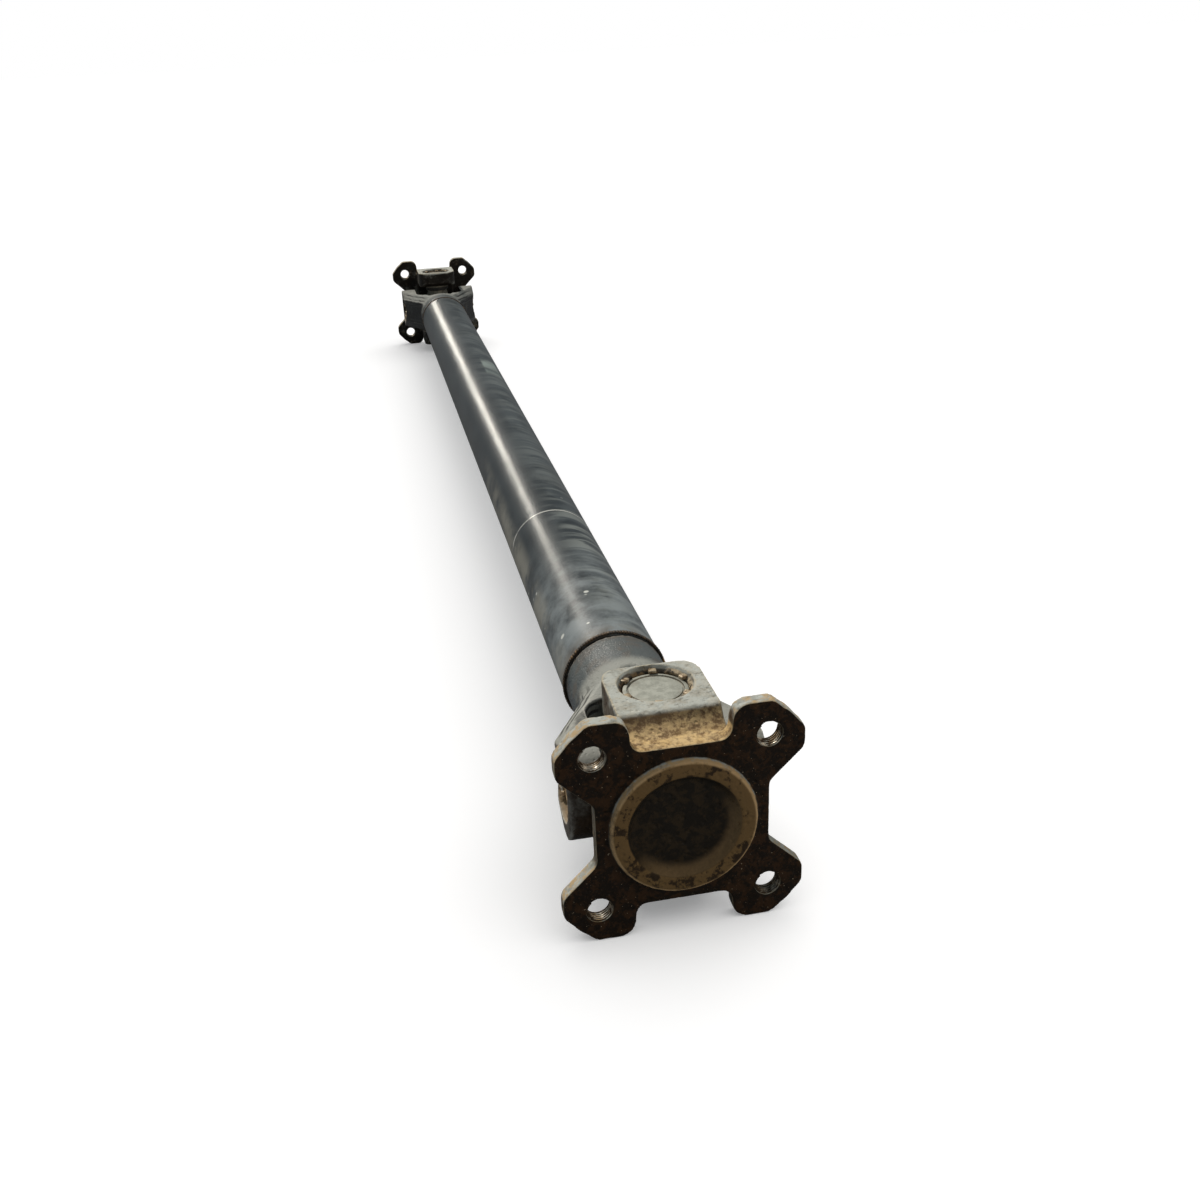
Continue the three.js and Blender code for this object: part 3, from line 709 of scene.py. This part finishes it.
def settle(piece):
    """The piece as its modifiers leave it, as a plain mesh, with the modifiers gone."""
    seen = piece.evaluated_get(bpy.context.evaluated_depsgraph_get())
    mesh = bpy.data.meshes.new_from_object(seen)
    old = piece.data
    piece.modifiers.clear()
    piece.data = mesh
    if old.users == 0:
        bpy.data.meshes.remove(old)
    return piece


def set_inputs(modifier, **values):
    """Sets a Geometry Nodes modifier's inputs by socket identifier, found from their names."""
    for socket in modifier.node_group.interface.items_tree:
        key = socket.name.replace(" ", "_")
        if socket.in_out == "INPUT" and key in values:
            modifier[socket.identifier] = values[key]


def grown(name, tree, **inputs):
    """A piece that is made wholly by a Geometry Nodes tree, as a plain mesh."""
    piece = new_object(name, bpy.data.meshes.new(name))
    modifier = piece.modifiers.new(name, "NODES")
    modifier.node_group = tree.tree
    set_inputs(modifier, **inputs)
    return settle(piece)


def smooth_all(mesh):
    mesh.polygons.foreach_set("use_smooth", [True] * len(mesh.polygons))


def turned_mesh(name, profile, segments, axis, centre, closed=False):
    """A mesh spun from (radius, height) points. Height runs along the axis from the centre."""
    work = bmesh.new()
    turn = Vector((0, 0, 1)).rotation_difference(Vector(axis)).to_matrix().to_4x4()
    rings = []
    for radius, height in profile:
        if radius == 0:
            rings.append([work.verts.new((0, 0, height))] * segments)
            continue
        rings.append([
            work.verts.new((radius * math.cos(a), radius * math.sin(a), height))
            for a in (2 * math.pi * i / segments for i in range(segments))
        ])
    pairs = list(zip(rings, rings[1:] + rings[:1]))
    for first, second in pairs if closed else pairs[:-1]:
        for i in range(segments):
            j = (i + 1) % segments
            corners = [first[i], first[j], second[j], second[i]]
            corners = [v for n, v in enumerate(corners) if v not in corners[:n]]
            if len(corners) > 2:
                work.faces.new(corners)
    bmesh.ops.recalc_face_normals(work, faces=work.faces)
    work.transform(Matrix.Translation(centre) @ turn)
    mesh = bpy.data.meshes.new(name)
    work.to_mesh(mesh)
    work.free()
    smooth_all(mesh)
    mesh.set_sharp_from_angle(angle=math.radians(30.0))
    return mesh


def report(piece):
    faces = sum(len(face.vertices) - 2 for face in piece.data.polygons)
    print(piece.name, [round(v / mm, 2) for v in piece.dimensions], "mm,", faces, "triangles")


# %% Helpers that start and end a Geometry Nodes tree


def start_geometry(name, **inputs):
    """A tree with a Geometry input and output. Each other input is named under its socket type."""
    tree = start_group(name, "GeometryNodeTree", {"Geometry": ["Geometry"], **inputs},
                       {"Geometry": ["Geometry"]})
    return tree, tree.given, tree.result


def realized(tree, geometry):
    return tree.add("GeometryNodeRealizeInstances", {"Geometry": geometry}).outputs[0]


def moved(tree, geometry, place=(0, 0, 0), turn=(0, 0, 0)):
    inputs = {"Geometry": geometry, "Translation": place, "Rotation": turn}
    return tree.add("GeometryNodeTransform", inputs).outputs[0]


def stood_on_shaft(tree, geometry, plane):
    """Turns a piece from upright to lying along the shaft, with its middle at the plane."""
    lift = tree.add("ShaderNodeCombineXYZ", {"Y": plane})
    return moved(tree, geometry, lift.outputs[0], (math.pi / 2, 0, 0))


def end_geometry(tree, geometry, material, result):
    smooth = tree.add("GeometryNodeSetShadeSmooth", {"Geometry": geometry})
    skin = tree.add("GeometryNodeSetMaterial", {"Geometry": smooth.outputs[0], "Material": material})
    tree.link(skin.outputs[0], result[0])


# %% [markdown]
# ## The forgings
# A yoke is hammered to shape between two dies, so its corners are round, its skin is uneven and
# hollows run along its arms. Subdivision would round the corners only where the edge loops allow.
# A voxel remesh makes an even skin over the frame's shape whatever its triangles are, a little
# smoothing gives the fillets, and Geometry Nodes then press in the unevenness. The skin only moves
# inwards, so the piece stays within its frame.

# %% Build the Geometry Nodes tree for a forged skin
forged, given, result = start_geometry(
    "forged skin", Float=("Wave Depth", "Wave Scale", "Pit Depth", "Pit Scale"), Material=("Skin",),
)
wave = forged.speckle(given["Wave Scale"], 3)
pit = forged.rise(forged.speckle(given["Pit Scale"], 5, 0.65), 0.5, 0.72)
depth = forged.plus(forged.times(wave, given["Wave Depth"]), forged.times(pit, given["Pit Depth"]))
normal = forged.add("GeometryNodeInputNormal").outputs[0]
inwards = forged.add(
    "ShaderNodeVectorMath", {0: normal, "Scale": forged.times(depth, -1.0)}, operation="SCALE")
pressed = forged.add(
    "GeometryNodeSetPosition", {"Geometry": given["Geometry"], "Offset": inwards.outputs[0]})
end_geometry(forged, pressed.outputs[0], given["Skin"], result)

# %% Helper that makes a forging from one of the frame's nodes


def forging(name, node, material, body, voxel=0.75 * mm, rounding=6, **skin):
    work = bmesh.new()
    work.from_mesh(nodes[node].data)
    bmesh.ops.remove_doubles(work, verts=work.verts, dist=1e-6)
    mesh = bpy.data.meshes.new(name)
    work.to_mesh(mesh)
    work.free()
    piece = new_object(name, mesh, material)
    remesh = piece.modifiers.new("even skin", "REMESH")
    remesh.mode = "VOXEL"
    remesh.voxel_size = voxel
    remesh.use_smooth_shade = True
    soften = piece.modifiers.new("fillets", "SMOOTH")
    soften.factor = 0.5
    soften.iterations = rounding
    pressed = piece.modifiers.new("forged skin", "NODES")
    pressed.node_group = forged.tree
    set_inputs(pressed, Skin=material, **skin)
    settle(piece)
    smooth_all(piece.data)
    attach(piece, body)
    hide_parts(node)
    report(piece)
    return piece


# %% Make the four yokes
for end in ends:
    flange = forging(
        f"{end}_flange_forging", f"{end}_flange_yoke", flange_skin, f"{end}_flange_body",
        Wave_Depth=0.25 * mm, Wave_Scale=90.0, Pit_Depth=0.18 * mm, Pit_Scale=330.0,
    )
    yoke = forging(
        f"{end}_yoke_forging", f"{end}_tube_yoke", yoke_skin, shaft_body,
        Wave_Depth=0.3 * mm, Wave_Scale=80.0, Pit_Depth=0.12 * mm, Pit_Scale=300.0,
    )

# %% [markdown]
# ## The tube
# A welded steel tube, drawn true and painted. It is a spun profile: the two walls, the bevelled
# ends and nothing else, with enough segments for a smooth line of light.

# %% Spin the tube
tube_bore = tube_radius - 2.5 * mm
bevel = 0.4 * mm
slices = 60
outer = [
    (tube_radius, tube_low.y + bevel + (tube_high.y - tube_low.y - 2 * bevel) * i / slices)
    for i in range(slices + 1)
]
tube_profile = [
    (tube_bore, tube_low.y), (tube_radius - bevel, tube_low.y), *outer,
    (tube_radius - bevel, tube_high.y), (tube_bore, tube_high.y),
]
tube_mesh = turned_mesh(
    "painted_tube", tube_profile, segments=160, axis=(0, 1, 0), centre=Vector(), closed=True)
tube = new_object("painted_tube", tube_mesh, tube_paint)
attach(tube, shaft_body)
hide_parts("drive_tube")
report(tube)

# %% [markdown]
# ## The bearing cups
# Each cup is drawn from sheet and ground, with a ring turned into its closed face. Eight of them are
# one profile, spun about four directions at two joints.

# %% Spin the eight cups
directions = {"top": (0, 0, 1), "bottom": (0, 0, -1), "left": (-1, 0, 0), "right": (1, 0, 0)}
cup_low, cup_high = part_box("near_top_cup")
cup_radius = cup_high.x
cup_face = cup_high.z - joint_centre["near"].z
cup_mouth = cup_low.z - joint_centre["near"].z
cup_bore = 11 * mm
cup_floor = cup_face - 2.5 * mm
cup_profile = [
    (0, cup_face - 0.35 * mm), (0.30 * cup_radius, cup_face - 0.30 * mm),
    (0.76 * cup_radius, cup_face - 0.12 * mm), (0.795 * cup_radius, cup_face - 0.20 * mm),
    (0.81 * cup_radius, cup_face - 0.70 * mm), (0.85 * cup_radius, cup_face - 0.70 * mm),
    (0.865 * cup_radius, cup_face), (cup_radius - 0.9 * mm, cup_face),
    (cup_radius - 0.3 * mm, cup_face - 0.25 * mm), (cup_radius, cup_face - 0.9 * mm),
    (cup_radius, cup_mouth + 0.5 * mm), (cup_radius - 0.5 * mm, cup_mouth),
    (cup_bore + 0.4 * mm, cup_mouth), (cup_bore, cup_mouth + 0.4 * mm),
    (cup_bore, cup_floor), (0, cup_floor),
]
for end in ends:
    for side_name, direction in directions.items():
        node = f"{end}_{side_name}_cup"
        mesh = turned_mesh(
            f"{node}_turned", cup_profile, segments=96, axis=direction, centre=joint_centre[end])
        cup = new_object(f"{node}_turned", mesh, bearing_steel)
        held_by_flange = side_name in ("top", "bottom")
        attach(cup, f"{end}_flange_body" if held_by_flange else shaft_body)
        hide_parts(node)
print("cup radius", round(cup_radius / mm, 2), "mm, face at", round(cup_face / mm, 2), "mm")

# %% [markdown]
# ## The staked tabs
# Each cup is locked in its bore by staking: a punch peens small tabs of the lug over the cup's edge.
# A tab is always the same and stands at even steps round the bore, so Geometry Nodes put a small
# rounded block on the points of a circle, once above the joint and once below it.

# %% Build the Geometry Nodes tree for two rings of tabs
stakes, given, result = start_geometry(
    "staked tabs", Int=("Tabs",), Float=("Ring Radius", "Face", "Radial", "Width", "Height"),
    Vector=("Turn", "Joint Centre"), Material=("Finish",),
)
circle = stakes.add("GeometryNodeMeshCircle", {
    "Vertices": given["Tabs"], "Radius": given["Ring Radius"],
})
block_size = stakes.add("ShaderNodeCombineXYZ", {
    "X": given["Radial"], "Y": given["Width"], "Z": given["Height"],
})
block = stakes.add("GeometryNodeMeshCube", {
    "Size": block_size.outputs[0], "Vertices X": 2, "Vertices Y": 2, "Vertices Z": 2,
})
rounded = stakes.add("GeometryNodeSubdivisionSurface", {
    "Mesh": block.outputs["Mesh"], "Level": 2, "Edge Crease": 0.55,
})
outwards = stakes.add("FunctionNodeAlignRotationToVector", {"Vector": stakes.place}, axis="X")
tabs = stakes.add("GeometryNodeInstanceOnPoints", {
    "Points": circle.outputs["Mesh"], "Instance": rounded.outputs["Mesh"],
    "Rotation": outwards.outputs["Rotation"],
})
raised = stakes.add("ShaderNodeCombineXYZ", {"Z": given["Face"]})
first_tab_turn = (0, 0, math.radians(22))
upper = moved(stakes, tabs.outputs["Instances"], raised.outputs[0], first_tab_turn)
lower = moved(stakes, upper, turn=(math.pi, 0, 0))
both = stakes.add("GeometryNodeJoinGeometry", {0: upper})
stakes.link(lower, both.inputs[0])
placed = moved(stakes, both.outputs[0], given["Joint Centre"], given["Turn"])
end_geometry(stakes, realized(stakes, placed), given["Finish"], result)

# %% Stake the cups of both yokes at both ends
for end in ends:
    for holder, body, turn in (
        ("flange", f"{end}_flange_body", (0, 0, 0)),
        ("yoke", shaft_body, (0, math.pi / 2, 0)),
    ):
        tabs = grown(
            f"{end}_{holder}_stakes", stakes, Tabs=6, Ring_Radius=cup_radius + 0.2 * mm,
            Face=cup_face + 0.85 * mm, Radial=3.0 * mm, Width=3.4 * mm, Height=1.5 * mm,
            Turn=turn, Joint_Centre=tuple(joint_centre[end]), Finish=staked_metal,
        )
        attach(tabs, body)
        report(tabs)

# %% [markdown]
# ## The weld beads
# A robot laid each bead in overlapping drops, like coins pushed over. They could be modelled one by
# one, but they follow a rule: the same drop at even steps round a circle. Geometry Nodes put a
# flattened drop on each point of a circle, vary its size from a fixed seed, and add a core.

# %% Build the Geometry Nodes tree for a weld bead
weld, given, result = start_geometry(
    "weld bead", Int=("Drops",), Float=("Ring Radius", "Bead Width", "Bead Height", "Plane"),
    Material=("Finish",),
)
circle = weld.add("GeometryNodeCurvePrimitiveCircle", {
    "Resolution": given["Drops"], "Radius": given["Ring Radius"],
})
points = weld.add("GeometryNodeCurveToPoints", {
    "Curve": circle.outputs["Curve"], "Count": given["Drops"],
}, mode="COUNT")
drop = weld.add("GeometryNodeMeshUVSphere", {"Segments": 10, "Rings": 6, "Radius": 0.5})
size = weld.add("ShaderNodeCombineXYZ", {
    "X": weld.times(given["Bead Height"], 2.0), "Y": given["Bead Width"],
    "Z": weld.times(given["Bead Width"], 0.75),
})
vary = weld.add("FunctionNodeRandomValue", data_type="FLOAT")
size_range = {"Min": 0.9, "Max": 1.0, "Seed": 7}
for socket in vary.inputs:
    if socket.enabled and socket.name in size_range:
        socket.default_value = size_range[socket.name]
random_size = next(socket for socket in vary.outputs if socket.enabled)
varied = weld.add(
    "ShaderNodeVectorMath", {0: size.outputs[0], "Scale": random_size}, operation="SCALE")
drops = weld.add("GeometryNodeInstanceOnPoints", {
    "Points": points.outputs["Points"], "Instance": drop.outputs["Mesh"],
    "Rotation": points.outputs["Rotation"], "Scale": varied.outputs[0],
})
core_line = weld.add("GeometryNodeCurvePrimitiveCircle", {
    "Resolution": 96, "Radius": given["Ring Radius"],
})
core_round = weld.add("GeometryNodeCurvePrimitiveCircle", {
    "Resolution": 8, "Radius": weld.times(given["Bead Height"], 0.8),
})
core = weld.add("GeometryNodeCurveToMesh", {
    "Curve": core_line.outputs["Curve"], "Profile Curve": core_round.outputs["Curve"],
})
joined = weld.add("GeometryNodeJoinGeometry", {0: core.outputs["Mesh"]})
weld.link(drops.outputs["Instances"], joined.inputs[0])
stood = stood_on_shaft(weld, realized(weld, joined.outputs[0]), given["Plane"])
end_geometry(weld, stood, given["Finish"], result)

# %% Lay both beads
for end in ends:
    weld_low, weld_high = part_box(f"{end}_weld_bead")
    bead_height = 0.8 * mm
    bead = grown(
        f"{end}_weld_ripples", weld, Drops=110, Ring_Radius=weld_high.x - bead_height,
        Bead_Width=weld_high.y - weld_low.y, Bead_Height=bead_height,
        Plane=(weld_low.y + weld_high.y) / 2, Finish=weld_metal,
    )
    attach(bead, shaft_body)
    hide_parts(f"{end}_weld_bead")
    report(bead)

# %% [markdown]
# ## The bolt holes
# Bolts that were tightened and rubbed for years have pressed thread-like ridges into the holes. A
# ridge is a spiral, so Geometry Nodes sweep a small round section along one and repeat it at the
# four corners of the bolt square.

# %% Build the Geometry Nodes tree for the ridges
ridged, given, result = start_geometry(
    "bolt hole ridges", Float=("Spacing", "Hole Radius", "Ridge", "Depth", "Pitch", "Plane"),
    Material=("Finish",),
)
spiral = ridged.add("GeometryNodeCurveSpiral", {
    "Resolution": 32, "Rotations": ridged.maths("DIVIDE", given["Depth"], given["Pitch"]),
    "Start Radius": given["Hole Radius"], "End Radius": given["Hole Radius"],
    "Height": given["Depth"],
})
section = ridged.add("GeometryNodeCurvePrimitiveCircle", {"Resolution": 7, "Radius": given["Ridge"]})
ridge = ridged.add("GeometryNodeCurveToMesh", {
    "Curve": spiral.outputs["Curve"], "Profile Curve": section.outputs["Curve"], "Fill Caps": True,
})
corners = ridged.add("GeometryNodeMeshGrid", {
    "Size X": given["Spacing"], "Size Y": given["Spacing"], "Vertices X": 2, "Vertices Y": 2,
})
placed = ridged.add("GeometryNodeInstanceOnPoints", {
    "Points": corners.outputs["Mesh"], "Instance": ridge.outputs["Mesh"],
})
stood = stood_on_shaft(ridged, realized(ridged, placed.outputs["Instances"]), given["Plane"])
end_geometry(ridged, stood, given["Finish"], result)

# %% Press the ridges into the holes of both flanges
depth = flange_thickness - 1.2 * mm
for end in ends:
    middle = end_sign[end] * (face_plane - flange_thickness / 2)
    ridges = grown(
        f"{end}_hole_ridges", ridged, Spacing=hole_spacing, Hole_Radius=hole_radius + 0.15 * mm,
        Ridge=0.42 * mm, Depth=depth, Pitch=1.25 * mm, Plane=middle + depth / 2,
        Finish=rubbed_steel,
    )
    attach(ridges, f"{end}_flange_body")
    report(ridges)

# %% [markdown]
# ## Finishes for the pieces that the frame already shapes well
# The crosses, needle rings, seals, washers and balance weights are hidden or small, and their frame
# shapes are right. They keep them and only get their finish.

# %% Give the other nodes their finishes
kept = {"cross": bearing_steel, "needles": bearing_steel, "thrust_washer": nylon, "seal": seal_rubber,
        "balance_weight": yoke_skin}
for name, item in nodes.items():
    for ending, material in kept.items():
        if name.endswith(ending) and not item.hide_render:
            item.data.materials.clear()
            item.data.materials.append(material)

# %% [markdown]
# ## Light linking and the last measurements
# The pieces are lit by the key, the second sun and the soft boxes, and the floor by its own light.
# The visual box is then measured, and its growth over the frame's box printed, so that the finished shaft can be
# checked against its frame.

# %% Link the lights to what they light
lit_pieces = bpy.data.collections.new("lit by the key")
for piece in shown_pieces():
    lit_pieces.objects.link(piece)
for lamp in (key, shine, side_box, front_box):
    lamp.light_linking.receiver_collection = lit_pieces
lit_floor = bpy.data.collections.new("lit by the floor light")
lit_floor.objects.link(floor)
floor_light.light_linking.receiver_collection = lit_floor

# %% Measure the visual box and print its growth over the frame's
new_low, new_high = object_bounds()
grown_by = [round((b - a) / mm, 2) for a, b in zip((*frame_low, *frame_high), (*new_low, *new_high))]
print("visual box against the frame's, mm:", grown_by)
